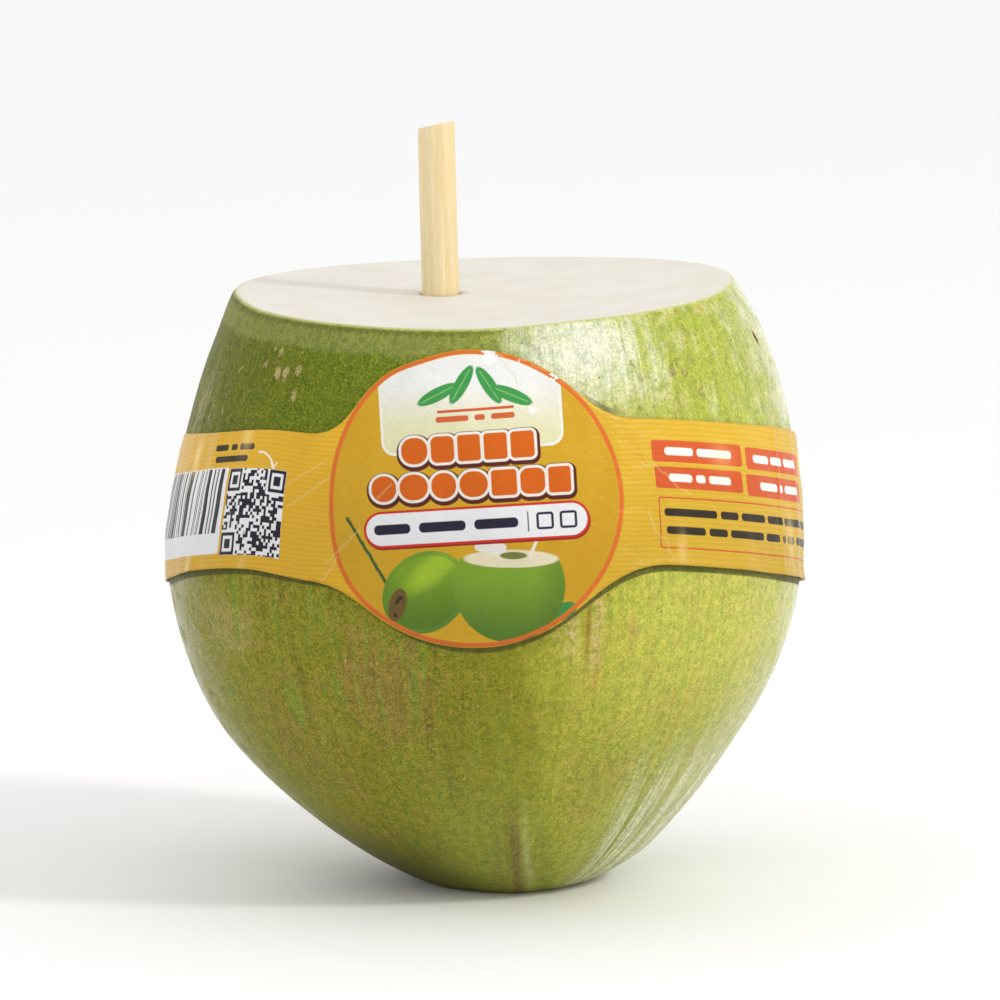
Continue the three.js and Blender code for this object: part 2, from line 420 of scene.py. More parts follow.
def film_places(azimuth, turn, arc, level, back, outer):
    """Where each point is on the flat drawings of the round part and of the band."""
    x = outer[..., 0] - LABEL_X
    behind = np.sign(turn) * 2 * HUSK_RADIUS - x  # goes on growing past the sides
    x = np.where(np.abs(turn) < math.pi / 2, x, behind)
    to_edge = around(np.arctan2(level, x), MEDALLION) - np.hypot(x, level)
    middle = (around(azimuth, BAND_TOP) + around(azimuth, BAND_FOOT)) / 2
    front = np.stack([x, level, to_edge], axis=-1)
    wrap = np.stack([arc, level - middle, back], axis=-1)
    return front, wrap


def build_label():
    azimuth = np.radians(np.arange(FILM_COLUMNS) * 360 / FILM_COLUMNS - 180)
    upper, lower = film_edge(azimuth, 1), film_edge(azimuth, -1)
    share = np.linspace(0, 1, FILM_ROWS)
    share -= 0.05 * np.sin(2 * math.pi * (share - 0.5))
    level = lower + (upper - lower) * share[:, None]
    turn = np.broadcast_to(azimuth, level.shape)
    arc = HUSK_RADIUS * turn - LABEL_X
    back = np.arccos(np.cos(turn - math.pi)) * HUSK_RADIUS
    lift = film_lift(turn, arc, level, upper - level, level - lower, back)
    outer = film_point(turn, level, lift)
    inner = film_point(turn, level, lift - FILM_THICKNESS)

    front, wrap = film_places(azimuth, turn, arc, level, back, outer)
    attributes = {
        "front": np.concatenate([front, front[::-1]]),
        "wrap": np.concatenate([wrap, wrap[::-1]]),
    }
    rows = np.concatenate([outer, inner[::-1]])
    return mesh_of_rows("film_label", rows, True, attributes, [film_material()])


# ---- Straw ----


LIP = [(0.12, 0.1), (0.5, 0.14), (0.88, 0.1)]  # its rounded end: share of the wall, and mm up


def straw_wall(theta, radius, levels, up=0.0):
    """Rings of the straw, slightly uneven, that slant more and more towards its upper end."""
    grid_z, grid_t = np.meshgrid(levels, theta, indexing="ij")
    wobble = 0.05 * np.sin(3 * grid_t + grid_z / 17) + 0.03 * np.sin(7 * grid_t - grid_z / 9)
    x, y = (radius + wobble) * np.cos(grid_t), (radius + wobble) * np.sin(grid_t)
    slant = np.where(grid_z > 0, STRAW_RISE * x - STRAW_FALL * y, 0)
    slant = slant * smoothstep(grid_z, 0, STRAW_SHOWN)
    return np.stack([x, y, grid_z + slant + up], axis=-1)


def build_straw():
    theta = np.radians(np.arange(STRAW_COLUMNS) * 360 / STRAW_COLUMNS)
    heights = -STRAW_DEPTH + (STRAW_DEPTH + STRAW_SHOWN) * np.linspace(0, 1, STRAW_ROWS)
    walls = [straw_wall(theta, STRAW_RADIUS, heights)]
    for share, up in LIP:
        walls.append(straw_wall(theta, STRAW_RADIUS - share * STRAW_WALL, heights[-1:], up))
    walls.append(straw_wall(theta, STRAW_RADIUS - STRAW_WALL, heights[::-1]))
    local = np.concatenate(walls)
    rows, attributes = straw_frame(local), {"straw": local / 10}
    return mesh_of_rows("paper_straw", rows, True, attributes, [straw_material()])


# ---- Shader helpers ----

BRIGHTEST = 0.95  # no surface sends back more of the light than this


def linear(tint):
    """The linear channels of an sRGB colour, 0xRRGGBB, as all colours are given here."""
    channels = (channel / 255 for channel in tint.to_bytes(3, "big"))
    return (c / 12.92 if c <= 0.04045 else ((c + 0.055) / 1.055) ** 2.4 for c in channels)


class Graph:
    """Short names for the nodes of one material, and the colour painted on it so far.

    light is about what the studio's light multiplies the surface's colours by."""

    def __init__(self, name, light=1):
        self.material = bpy.data.materials.new(name)
        self.material.use_nodes = True
        self.tree = self.material.node_tree
        self.shader = self.tree.nodes["Principled BSDF"]
        self.light = light
        self.colour = None

    def put(self, socket, value):
        if isinstance(value, bpy.types.NodeSocket):
            self.tree.links.new(value, socket)
        else:
            socket.default_value = value

    def node(self, kind, inputs, output=0, **settings):
        made = self.tree.nodes.new(kind)
        for key, value in settings.items():
            setattr(made, key, value)
        for key, value in inputs.items():
            self.put(made.inputs[key], value)
        return made.outputs[output]

    def math(self, operation, a, b=0):
        return self.node("ShaderNodeMath", {0: a, 1: b}, operation=operation)

    def add(self, a, b):
        return self.math("ADD", a, b)

    def times(self, a, b):
        return self.math("MULTIPLY", a, b)

    def vector(self, operation, a, b=(0, 0, 0), output=0):
        return self.node("ShaderNodeVectorMath", {0: a, 1: b}, output, operation=operation)

    def scaled(self, vector, size):
        return self.vector("MULTIPLY", vector, (size, size, size))

    def attribute(self, name):
        return self.node("ShaderNodeAttribute", {}, "Vector", attribute_name=name)

    def place_mm(self):
        """The point's own place, in mm."""
        return self.scaled(self.node("ShaderNodeTexCoord", {}, "Object"), 1 / MM)

    def split(self, vector):
        made = self.tree.nodes.new("ShaderNodeSeparateXYZ")
        self.put(made.inputs[0], vector)
        return made.outputs

    def join(self, x, y, z=0):
        return self.node("ShaderNodeCombineXYZ", {0: x, 1: y, 2: z})

    def noise(self, vector, scale, detail=3, roughness=0.5, distortion=0):
        inputs = {"Vector": vector, "Scale": scale, "Detail": detail}
        inputs |= {"Roughness": roughness, "Distortion": distortion}
        return self.node("ShaderNodeTexNoise", inputs)

    def sway(self, noise, reach):
        """A noise about 0 instead of about 0.5."""
        return self.times(self.add(noise, -0.5), reach)

    def cells(self, vector, scale):
        """Distance to the nearest of scattered points."""
        return self.node("ShaderNodeTexVoronoi", {"Vector": vector, "Scale": scale}, "Distance")

    def step(self, value, low, high, to_low=0, to_high=1):
        inputs = {"Value": value, "From Min": low, "From Max": high}
        inputs |= {"To Min": to_low, "To Max": to_high}
        return self.node("ShaderNodeMapRange", inputs, interpolation_type="SMOOTHSTEP")

    def bell(self, value, middle, width):
        """1 at middle, falling away over width."""
        off = self.times(self.add(value, -middle), 1 / width)
        return self.math("EXPONENT", self.times(self.times(off, off), -1))

    def mix(self, share, a, b, blend="MIX"):
        made = self.tree.nodes.new("ShaderNodeMix")
        made.data_type, made.blend_type = "RGBA", blend
        self.put(made.inputs[0], share)
        self.put(made.inputs[6], a)
        self.put(made.inputs[7], b)
        return made.outputs[2]

    def ramp(self, value, stops):
        made = self.tree.nodes.new("ShaderNodeValToRGB")
        ramp = made.color_ramp
        while len(ramp.elements) < len(stops):
            ramp.elements.new(0.5)
        for element, (at, colour) in zip(ramp.elements, stops):
            element.position = at
            element.color = colour
        self.put(made.inputs[0], value)
        return made.outputs[0]

    def bump(self, height, strength, distance, normal=None):
        """distance is in metres."""
        inputs = {"Height": height, "Strength": strength, "Distance": distance}
        if normal is not None:
            inputs["Normal"] = normal
        return self.node("ShaderNodeBump", inputs)

    def paint(self, tint):
        """The colour of a surface that looks like tint under the studio's light."""
        return (*(min(BRIGHTEST, c / self.light) for c in linear(tint)), 1)

    def lay(self, share, tint, strength=1):
        """A share of a colour, or of a node's, over the colour so far."""
        if not isinstance(tint, bpy.types.NodeSocket):
            tint = self.paint(tint)
        if strength != 1:
            share = self.times(share, strength)
        self.colour = self.mix(share, self.colour, tint)

    def toned(self, red, green, blue):
        """The colour so far, each channel times its own tone."""
        return self.mix(1, self.colour, self.join(red, green, blue), "MULTIPLY")

    def finish(self, **sockets):
        for key, value in sockets.items():
            self.put(self.shader.inputs[key.replace("_", " ")], value)
        return self.material


# ---- Husk materials ----

SKIN_LIGHT = 1.1
FLESH_LIGHT = 1.25

# The skin's colour round the fruit, from the back over the left, the front and the right. The
# lighter colours on the right are partly painted light, from the key lamp on that side.
SKIN_LOWER = [
    (-180, 0x8C8832), (-110, 0x8C8832), (-60, 0x8A862C), (-30, 0x888428), (-5, 0x838026),
    (8, 0x8A8A2A), (18, 0xA8A83E), (30, 0xB5B74D), (60, 0xB9BB59), (110, 0xB4B858),
    (180, 0x8C8832),
]
SKIN_UPPER = [
    (-180, 0x767E2A), (-100, 0x6A7222), (-62, 0x676F1E), (-40, 0x68781E), (-20, 0x6C7E22),
    (-7, 0x849236), (3, 0xA0AC54), (13, 0xBAC070), (24, 0xBABE6C), (45, 0xA8B24A), (70, 0xA6B04A),
    (120, 0x98A448), (180, 0x767E2A),
]
SKIN_CHANGE = (78, 106)  # the heights between which the lower colours become the upper ones

# Patches of another colour: degrees from the front, height, their spreads, colour and strength
BLOTCHES = [
    (-19, 52, 13, 14, 0x927A3E, 0.75), (-54, 63, 8, 8, 0xAA9E5C, 0.6),
    (-40, 40, 12, 16, 0x8C7C38, 0.5), (28, 30, 10, 10, 0xA6944E, 0.45),
    (60, 92, 16, 18, 0xC4CE68, 0.5), (-120, 60, 18, 20, 0x968042, 0.7),
    (150, 95, 20, 22, 0x80863A, 0.7), (110, 40, 14, 18, 0xA69E4C, 0.4),
    (-150, 100, 16, 14, 0x969450, 0.5), (10.9, 128, 2.2, 2.2, 0xBCB080, 0.7),
    (15.6, 128, 2, 2.4, 0xA8AE6C, 0.8),
]
# Tints where a field goes from one value to another: the field, both values, where on the husk,
# colour and strength. The fields are those of skin_fields.
TINTS = [
    ("cloud", 0.5, 0.66, "low_left", 0x927E3E, 0.5),
    ("streak", 0.56, 0.66, "low_left", 0x708C32, 0.65),
    ("thread", 0.56, 0.64, "low_left", 0x728E30, 0.4),
    ("grain", 0.58, 0.7, "low_left", 0x966C42, 0.35),
    ("streak", 0.46, 0.34, "low_left", 0x686426, 0.4),
    ("cloud", 0.52, 0.68, "right", 0xC4AA5C, 0.4),
    ("streak", 0.57, 0.7, "low_right", 0xC49654, 0.4),
    ("cloud", 0.46, 0.34, "right", 0xACBC46, 0.45),
    ("thread", 0.62, 0.75, "right", 0xCEA65C, 0.2),
    ("z", 60, 34, "right", 0x8C9238, 0.42),
    ("fine", 0.52, 0.64, "left", 0xA49648, 0.35),
    ("fine", 0.48, 0.38, "left", 0x586C18, 0.35),
    ("fine", 0.54, 0.68, "right", 0xD4BA6E, 0.3),
    # The next three are painted reflections of the white studio at the fruit's sides
    ("cloud", 0.3, 0.6, "right_end", 0xDCDEC0, 0.65),
    ("cloud", 0.2, 0.5, "right_rim", 0xF2F2E6, 0.6),
    ("cloud", 0.3, 0.55, "left_end", 0xE2E0CE, 0.9),
    ("side", 0.76, 0.93, "foot", 0xD0D0A4, 0.45),
    ("z", 52, 16, "front", 0x9EA248, 0.45),
]
# Places on the husk: degrees from the front, height, and their spreads
# A pale waxy bloom, with the key lamp's highlight painted into it
WAX_AND_HIGHLIGHT = (21, 126, 17, 12)
ROUGH_PATCH = (-77, 104, 8, 15)
SCAR_CORE = (19, 67, 0.55, 7)
SLIT = (76, 122, 0.8, 1.4)
SLIT_LEAN = 0.35  # degrees for each mm of height
# Groups of scabs: place and size
SCAB_GROUPS = [(-48, 120, 12, 8, 1), (-64, 108, 7, 7, 1)]
SCAB_GROUPS += [(38, 117, 14, 9, 0.6)]
# Long pale scars: degrees from the front, their half width in degrees, from and to height
SCARS = [(15.8, 1.3, 60, 73), (20.6, 1, 57, 74), (13.2, 0.5, 63, 76), (72, 0.5, 96, 112)]
SCARS += [(140, 1, 84, 118), (-132, 0.9, 30, 66)]
# Dots: their radius, sharp and blurred, scale, the groups' scale, least noise, colour, strength
DOTS = [(0.08, 0.2, 0.5, 0.3, 0.48, 0x705024, 0.6), (0.07, 0.17, 0.41, 0.37, 0.52, 0xC4BE7C, 0.5)]
# Lines along the front ridge: cm from it, half width in cm, colour and strength. A brown line on
# the ridge, with painted shade in the hollow to its left and a painted highlight just to its right.
RIDGE_LINES = [
    (-1, 0.8, 0x969C42, 0.4), (-0.22, 0.13, 0x8C8E4A, 0.4), (0.12, 0.12, 0x7E6A44, 0.75),
    (0.36, 0.09, 0xBABE80, 0.5), (0.7, 0.2, 0x7C8C3E, 0.45),
]


def skin_fields(g):
    """Where a point is on the husk, and the noises that its colour and relief share."""
    cosine, sine, level = g.split(g.attribute("meridian"))
    turn = g.math("ARCTAN2", cosine, g.times(sine, -1))
    f = SimpleNamespace(z=g.times(level, 100), mm=g.place_mm())
    f.turn = g.add(g.times(turn, 0.5 / math.pi), 0.5)
    f.degrees = g.times(turn, 180 / math.pi)
    f.side = cosine  # -1 at the left, 0 at the front and the back, 1 at the right
    # Long thin cells along the fruit's length, the same share of a turn all the way down
    round_x, round_y = g.times(cosine, 70), g.times(sine, 70)
    along = g.join(round_x, round_y, g.times(f.z, 0.16))
    longer = g.join(round_x, round_y, g.times(f.z, 0.05))
    f.mottle = g.noise(f.mm, 0.055, 4, 0.6)
    f.cloud = g.noise(f.mm, 0.16, 4, 0.65)
    f.grain = g.noise(f.mm, 0.6, 4, 0.7)
    f.fine = g.noise(f.mm, 1.9, 2, 0.7)
    f.streak = g.noise(along, 0.3, 4, 0.6)
    f.thread = g.noise(longer, 0.9, 3, 0.65)
    f.hair = g.noise(longer, 2.4, 2, 0.6)
    f.left = g.step(f.side, 0.34, -0.17)
    f.right = g.step(f.side, 0.09, 0.42)
    f.low = g.step(f.z, 92, 70)
    f.foot = g.step(f.z, 58, 36)
    f.low_left = g.times(f.low, f.left)
    f.low_right = g.times(f.low, f.right)
    f.front = g.bell(f.degrees, -3, 14)
    # Where the painted reflections at the fruit's sides lie
    f.right_end = g.bell(f.degrees, 88, 18)
    f.right_rim = g.bell(f.degrees, 91, 13)
    f.left_end = g.times(g.bell(f.degrees, -91, 18), f.low)
    return f


def spot(g, f, degrees, height, wide, tall):
    """1 at a place on the husk, falling away over its two spreads."""
    return g.times(g.bell(f.degrees, degrees, wide), g.bell(f.z, height, tall))


def round_ramp(g, turn, keys):
    """A colour ramp over an azimuth given as a share of a turn, 0.5 at the front."""
    return g.ramp(turn, [((degrees + 180) / 360, g.paint(tint)) for degrees, tint in keys])


def skin_base(g, f):
    """Green round the fruit, with its blotches, painted reflections at its sides and painted shade
    low on the left.
    """
    wander = g.add(f.turn, g.sway(f.mottle, 0.06))
    height = g.add(f.z, g.sway(f.mottle, 24))
    lower = round_ramp(g, wander, SKIN_LOWER)
    upper = round_ramp(g, wander, SKIN_UPPER)
    g.colour = g.mix(g.step(height, *SKIN_CHANGE), lower, upper)
    for *place, tint, strength in BLOTCHES:
        ragged = g.add(spot(g, f, *place), g.sway(f.cloud, 1.6))
        g.lay(g.step(ragged, 0.3, 0.8), tint, strength)
    for field, low, high, where, tint, strength in TINTS:
        share = g.step(getattr(f, field), low, high)
        g.lay(g.times(share, getattr(f, where)), tint, strength)
    # Painted shade: darker towards the bottom on the left side
    low_left_shade = g.times(g.step(f.z, 22, 2), g.step(f.side, -0.05, -0.45))
    g.lay(low_left_shade, 0x464A1C, 0.75)


def skin_collar(g, f):
    """Lighter olive under the cut on the left, a pale waxy bloom with a painted highlight and sheen
    on the right, and the knife's edge.
    """
    under = g.add(g.times(f.z, -1), HUSK_HEIGHT)
    ragged = g.add(g.times(f.thread, 4), g.add(f.hair, g.times(f.cloud, 1.6)))
    wander = g.add(under, g.add(ragged, -3.3))
    collar = g.times(g.step(wander, 6.6, 5.2), g.step(f.side, 0.2, -0.3))
    g.lay(collar, 0x8A904A, 0.8)
    dark = g.bell(g.add(under, g.times(f.thread, 1.6)), 1.7, 0.6)
    g.lay(g.times(dark, g.step(f.side, 0.17, -0.17)), 0x606824, 0.6)

    wax_and_highlight = spot(g, f, *WAX_AND_HIGHLIGHT)
    streaks = g.add(g.times(g.add(f.streak, f.hair), 0.8), g.add(f.cloud, -1.3))
    shown = g.times(g.step(g.add(wax_and_highlight, streaks), 0.15, 1.05), g.step(wax_and_highlight, 0.04, 0.3))
    # pale waxy bloom and painted highlight
    g.lay(shown, 0xEAECD8, 0.85)
    upper_right = g.times(g.step(f.side, 0.24, 0.64), g.step(f.z, 84, 110))
    bloom_and_sheen = g.add(g.times(f.streak, 0.5), g.times(f.cloud, 0.5))
    # painted sheen over pale bloom on the upper right
    g.lay(g.times(g.step(bloom_and_sheen, 0.5, 0.62), upper_right), 0xDADCB2, 0.35)
    g.lay(g.step(under, 0.5, 0.1), 0xC8CC7C, 0.7)


def skin_scabs(g, f):
    """Round scabs in groups, with a dark crust about them. Gives their height."""
    stretched = g.vector("MULTIPLY", f.mm, (1, 1, 0.55))
    shaken = g.scaled(g.join(f.fine, f.grain, f.fine), 2.2)
    cell = g.cells(g.vector("ADD", stretched, shaken), 0.36)
    groups = 0
    for *place, size in SCAB_GROUPS:
        groups = g.math("MAXIMUM", g.times(spot(g, f, *place), size), groups)
    some = g.step(g.noise(f.mm, 0.13, 1), 0.42, 0.56)
    size = g.times(g.add(g.times(groups, 0.36), 0.05), some)
    outside = g.math("SUBTRACT", cell, size)
    crust = g.step(outside, 0.16, 0.02)
    g.lay(g.times(crust, g.times(groups, 0.7)), 0x78642C)
    scab = g.step(outside, 0.05, -0.02)
    g.lay(scab, 0xB4A86C, 0.85)

    rough = spot(g, f, *ROUGH_PATCH)
    flecks = g.add(g.times(f.streak, 0.6), g.times(f.grain, 0.4))
    g.lay(g.times(g.step(flecks, 0.47, 0.58), rough), 0xA49E76, 0.75)
    g.lay(g.times(g.step(flecks, 0.47, 0.38), rough), 0x4E4824, 0.8)
    return scab


def skin_scars(g, f):
    """Long pale scars, the brown core of one of them, and a slit that a knife left."""
    wander = g.add(f.degrees, g.sway(f.cloud, 3))
    for degrees, wide, start, end in SCARS:
        length = g.times(g.step(f.z, start - 2, start + 3), g.step(f.z, end + 2, end - 3))
        scar = g.times(g.bell(wander, degrees, wide), length)
        g.lay(g.times(scar, g.step(f.grain, 0.36, 0.56)), 0xCCB278, 0.8)
    g.lay(spot(g, f, *SCAR_CORE), 0x96622C, 0.7)
    degrees, height, wide, tall = SLIT
    across = g.add(f.degrees, g.times(f.z, SLIT_LEAN))
    slit = g.bell(across, degrees + height * SLIT_LEAN, wide)
    slit = g.times(slit, g.bell(f.z, height, tall))
    g.lay(g.step(slit, 0.05, 0.4), 0xBA8C46)
    g.lay(g.step(slit, 0.3, 0.7), 0x48381A)


def skin_dots(g, f):
    """Brown pores and pale flecks."""
    for near, far, size, group_size, least, tint, strength in DOTS:
        dots = g.step(g.cells(f.mm, size), far, near)
        some = g.step(g.noise(f.mm, group_size, 1), least, 0.62)
        g.lay(g.times(dots, some), tint, strength)


def skin_film_shadows(g, f):
    """Painted shadow of the film: a dark line under its lower edge, and a short one over its upper
    edge.
    """
    _, below, above = g.split(g.attribute("cut"))
    thin = g.times(g.bell(f.degrees, -20, 13), 0.7)
    thick = g.times(g.bell(f.degrees, 27, 8), -0.5)
    below = g.add(below, g.add(thin, thick))
    line = g.times(g.step(below, 1.5, 1.1), g.step(below, -9, -7))
    # painted shadow under the film's lower edge
    g.lay(line, 0x545628, 0.85)
    line = g.times(g.step(above, 1.5, 1), g.step(above, -6, -5))
    # painted shadow over the film's upper edge, where it stands off the husk
    g.lay(g.times(line, g.bell(f.degrees, 23.5, 3.5)), 0x707654, 0.8)


def skin_tip(g, f):
    """The front ridge's lines, and the gathered stripes beside it, with painted sheen, painted
    glints and painted shade on the pleats.
    """
    ridge, wave, strong = g.split(g.attribute("tip"))
    near = g.step(g.add(f.z, g.sway(f.grain, 8)), 30, 14)
    ridge = g.add(ridge, g.sway(f.cloud, 0.12))
    for middle, width, tint, strength in RIDGE_LINES:
        g.lay(g.times(g.bell(ridge, middle, width), near), tint, strength)
    ragged = g.add(wave, g.times(g.add(g.add(f.thread, f.hair), -1), 3))
    # painted sheen over the pleats
    g.lay(strong, 0xC8CCA0, 0.35)
    # painted glints on the pleats' crests
    g.lay(g.times(g.step(ragged, -0.3, 0.8), strong), 0xDEE0C6, 0.8)
    # painted shade in the pleats' hollows
    g.lay(g.times(g.step(ragged, -0.5, -1.2), strong), 0x768A3A, 0.6)


def skin_material():
    g = Graph("coconut_skin", SKIN_LIGHT)
    f = skin_fields(g)
    skin_base(g, f)
    skin_collar(g, f)
    scab = skin_scabs(g, f)
    skin_scars(g, f)
    skin_dots(g, f)
    skin_film_shadows(g, f)
    skin_tip(g, f)
    shade = g.add(g.times(f.fine, 0.4), g.times(f.grain, 0.4))
    shade = g.add(shade, g.times(f.thread, 0.2))
    tone = g.step(shade, 0.34, 0.66, 0.7, 1.3)
    warm = g.step(f.grain, 0.3, 0.7, 0.94, 1.06)

    rough = g.add(g.times(f.grain, 0.6), g.times(f.streak, 0.4))
    high = g.add(g.times(f.grain, 0.5), g.times(f.streak, 0.7))
    normal = g.bump(high, 0.55, 0.0005)
    normal = g.bump(g.add(f.fine, g.times(f.thread, 0.8)), 0.4, 0.0003, normal)
    normal = g.bump(scab, 0.6, 0.0003, normal)
    return g.finish(
        Base_Color=g.toned(g.times(tone, warm), tone, tone),
        Roughness=g.step(rough, 0.3, 0.7, 0.34, 0.56),
        Normal=normal,
        Specular_IOR_Level=0.05,
    )


def flesh_material():
    g = Graph("coconut_cut_face", FLESH_LIGHT)
    mm = g.place_mm()
    to_rim = g.times(g.split(g.attribute("cut"))[0], 10)
    fibres = g.noise(g.vector("MULTIPLY", mm, (0.25, 1, 1)), 0.6, 4, 0.6)
    mottle = g.noise(mm, 0.09, 3, 0.5)
    speck = g.noise(mm, 1.1, 2, 0.6)
    g.colour = g.paint(0xF3EEE4)
    g.lay(g.step(mottle, 0.35, 0.7), 0xEEE8DA)
    g.lay(g.step(fibres, 0.52, 0.75), 0xE4DAC4, 0.3)
    g.lay(g.step(speck, 0.62, 0.75), 0xFAF7F0, 0.3)
    edge = g.add(to_rim, g.sway(mottle, 0.8))
    g.lay(g.step(edge, 1.3, 0.3), 0xE4E4BA, 0.6)
    g.lay(g.step(edge, 0.45, 0.1), 0xC8CC7C, 0.7)
    return g.finish(
        Base_Color=g.colour,
        Roughness=g.step(speck, 0.3, 0.7, 0.5, 0.7),
        Normal=g.bump(g.add(fibres, g.times(speck, 0.5)), 0.25, 0.0003),
        Subsurface_Weight=0.12,
        Subsurface_Scale=2 * MM,
    )


# ---- Straw material ----

STRAW_LIGHT = 1.15


def straw_material():
    g = Graph("straw_paper", STRAW_LIGHT)
    local = g.scaled(g.attribute("straw"), 10)
    x, y, z = g.split(local)
    bands = g.noise(g.join(x, y, g.times(z, 0.02)), 0.75, 3, 0.6)
    fibres = g.noise(g.join(x, y, g.times(z, 0.08)), 2.6, 3, 0.6)
    cloud = g.noise(local, 0.2, 2)
    g.colour = g.paint(0xFAE7BA)
    g.lay(g.step(bands, 0.35, 0.68), 0xEED39E)
    g.lay(g.step(fibres, 0.5, 0.75), 0xDCBA7E, 0.22)
    g.lay(g.step(fibres, 0.5, 0.3), 0xFCEDC8, 0.2)
    g.lay(g.step(cloud, 0.55, 0.7), 0xF0D39C, 0.25)
    return g.finish(
        Base_Color=g.colour,
        Roughness=g.step(fibres, 0.3, 0.7, 0.62, 0.78),
        Normal=g.bump(g.add(fibres, bands), 0.35, 0.0003),
    )


# ---- Label material ----

FILM_LIGHT = 1.22
SOFT = 0.11  # half the width of a printed edge's blur, in mm
WORD_GAP = 1.1  # between the dashes that stand for words
TILE_GAP = 0.75


class Art(Graph):
    """A material that prints flat shapes, given in millimetres, one over another.

    place is the point's x, y on the flat drawing. A distance is positive outside a shape."""

    def local(self, x, y, turn=0):
        """The point from x, y, in a frame turned by some degrees."""
        off = self.vector("SUBTRACT", self.place, (x, y, 0))
        if not turn:
            return off
        inputs = {"Vector": off, "Angle": -math.radians(turn)}
        return self.node("ShaderNodeVectorRotate", inputs, rotation_type="Z_AXIS")

    def box_in(self, off, half_x, half_y, corner):
        """Distance to a rounded box about the origin of off."""
        off = self.vector("ABSOLUTE", self.vector("MULTIPLY", off, (1, 1, 0)))
        beyond = self.vector("SUBTRACT", off, (half_x - corner, half_y - corner, 0))
        beyond = self.vector("MAXIMUM", beyond, (0, 0, 0))
        return self.add(self.vector("LENGTH", beyond, output="Value"), -corner)

    def box(self, x, y, half_x, half_y, corner=0.4, turn=0):
        return self.box_in(self.local(x, y, turn), half_x, half_y, corner)

    def oval(self, x, y, radius_x, radius_y, turn=0):
        off = self.vector("MULTIPLY", self.local(x, y, turn), (1 / radius_x, 1 / radius_y, 0))
        length = self.vector("LENGTH", off, output="Value")
        return self.times(self.add(length, -1), min(radius_x, radius_y))

    def row(self, off, height, parts, gap):
        """Distance to a row of rounded boxes, (length, corner) each, from off's origin."""
        along, up, _ = self.split(off)
        nearest, at = None, 0
        for length, corner in parts:
            part = self.join(self.add(along, -at - length / 2), up)
            one = self.box_in(part, length / 2, height / 2, corner)
            nearest = one if nearest is None else self.math("MINIMUM", nearest, one)
            at += length + gap
        return nearest

    def inside(self, distance):
        return self.step(distance, SOFT, -SOFT)

    def rim(self, distance, width):
        """The line of this width just inside a shape's edge."""
        off = self.math("ABSOLUTE", self.add(distance, width / 2))
        return self.inside(self.add(off, -width / 2))

    def fill(self, distance, tint, strength=1):
        self.lay(self.inside(distance), tint, strength)

    def words(self, x, y, height, turn, tint, lengths, gap=WORD_GAP):
        """A line of printing, shown as plain rounded dashes, from its left end."""
        parts = [(length, height / 2.3) for length in lengths]
        self.fill(self.row(self.local(x, y, turn), height, parts, gap), tint)

    def tiles(self, x, y, height, turn, parts):
        """A bold title, shown as plain rounded tiles with a light rim and a dark shadow."""
        one = self.row(self.local(x, y, turn), height, parts, TILE_GAP)
        shadow = self.row(self.local(x + 0.15, y - 0.4, turn), height, parts, TILE_GAP)
        self.fill(self.add(shadow, -1.15), 0x582016)
        self.fill(self.add(one, -0.6), 0xEEE8DE)
        self.fill(one, 0xD4620A)


# The tiles of the title's two lines: length and corner radius
TITLE_UPPER = [(5.7, 2.6), (5.1, 1.4), (5, 0.7), (5.1, 0.7), (5.2, 0.9)]
TITLE_LOWER = [(5.4, 2.6), (6.2, 2.8), (5.4, 2.6), (6.2, 2.8), (5.6, 0.8), (5.4, 1.8), (4.9, 0.7)]
# The sprig's leaves: x, y and turn
LEAVES = [(-8.6, 23.4, 28), (-3.4, 25.6, 62), (2.6, 25.4, -58), (7.6, 23, -24)]
LEAF_HALF = (4.9, 1.5)
PANEL_TURN = 3.4
LINE_TURN = 3.3
PILL = (24.7, 4.05, 4)  # half its length and height, and its corner
CODE_AT = (-57.4, -2.8)  # the middle of the square pattern
CODE_HALF = 9.6
CODE_LEAN = 0.06  # what the left panels lean, in mm for each mm up
# The red boxes on the right: x, y, half the length, and the lengths of the words' dashes
RED_BOXES = [
    (55.5, 8.9, 13.9, (8.2, 11.4)),
    (87, 8.6, 16, (7.2, 6.4, 10)),
    (55.2, 3.2, 13.5, (6.8, 2.8, 7.4)),
    (86.2, 2.8, 16, (8.4, 2.8, 7.6)),
]
WORDS_UPPER = (15.4, 6.2, 9.4, 8.2, 12, 9, 6.6)
WORDS_LOWER = (11.2, 5.8, 12.8, 6.2, 3, 4.4, 14)
# Painted glare where the film is crinkled: x, y and radius
GLARE_SPOTS = [(2.6, 31.9, 1.7), (17.3, 27.2, 1), (9.6, 31, 0.5), (12.2, 19.6, 0.7)]
# Creases pressed into the film at the front: from x, y to x, y in mm from the label's middle
CREASES = [(-41, -1, -32, 5), (-42, 3, -33, 9), (-34, -18, -30, -12), (37, -3, 43, -13)]
CREASES += [(36, 8, 47, 1), (4, 33, 9, 25), (16, 27, 12, 30), (-22, 0, -18, 4), (-33, -14, -26, -7)]
CREASE_SHIFT = 1.5  # the middle of the noise that shakes the creases
CREASE_HALF = 0.06
# Pale glints on the film's folds: arc from the front, level, their spreads in mm, strength
GLINTS = [(-84.8, 10.2, 1.6, 4, 0.7), (-62.8, 14, 1.6, 3, 0.5), (-79.2, -15, 1.6, 3, 0.6)]
GLINTS += [(-58, -15, 1.2, 2.6, 0.35), (90.5, -9, 2, 6, 0.5), (62.6, 8.5, 3.4, 2.6, 0.25)]
GLINTS += [(47.8, -12, 1.2, 3.5, 0.4)]


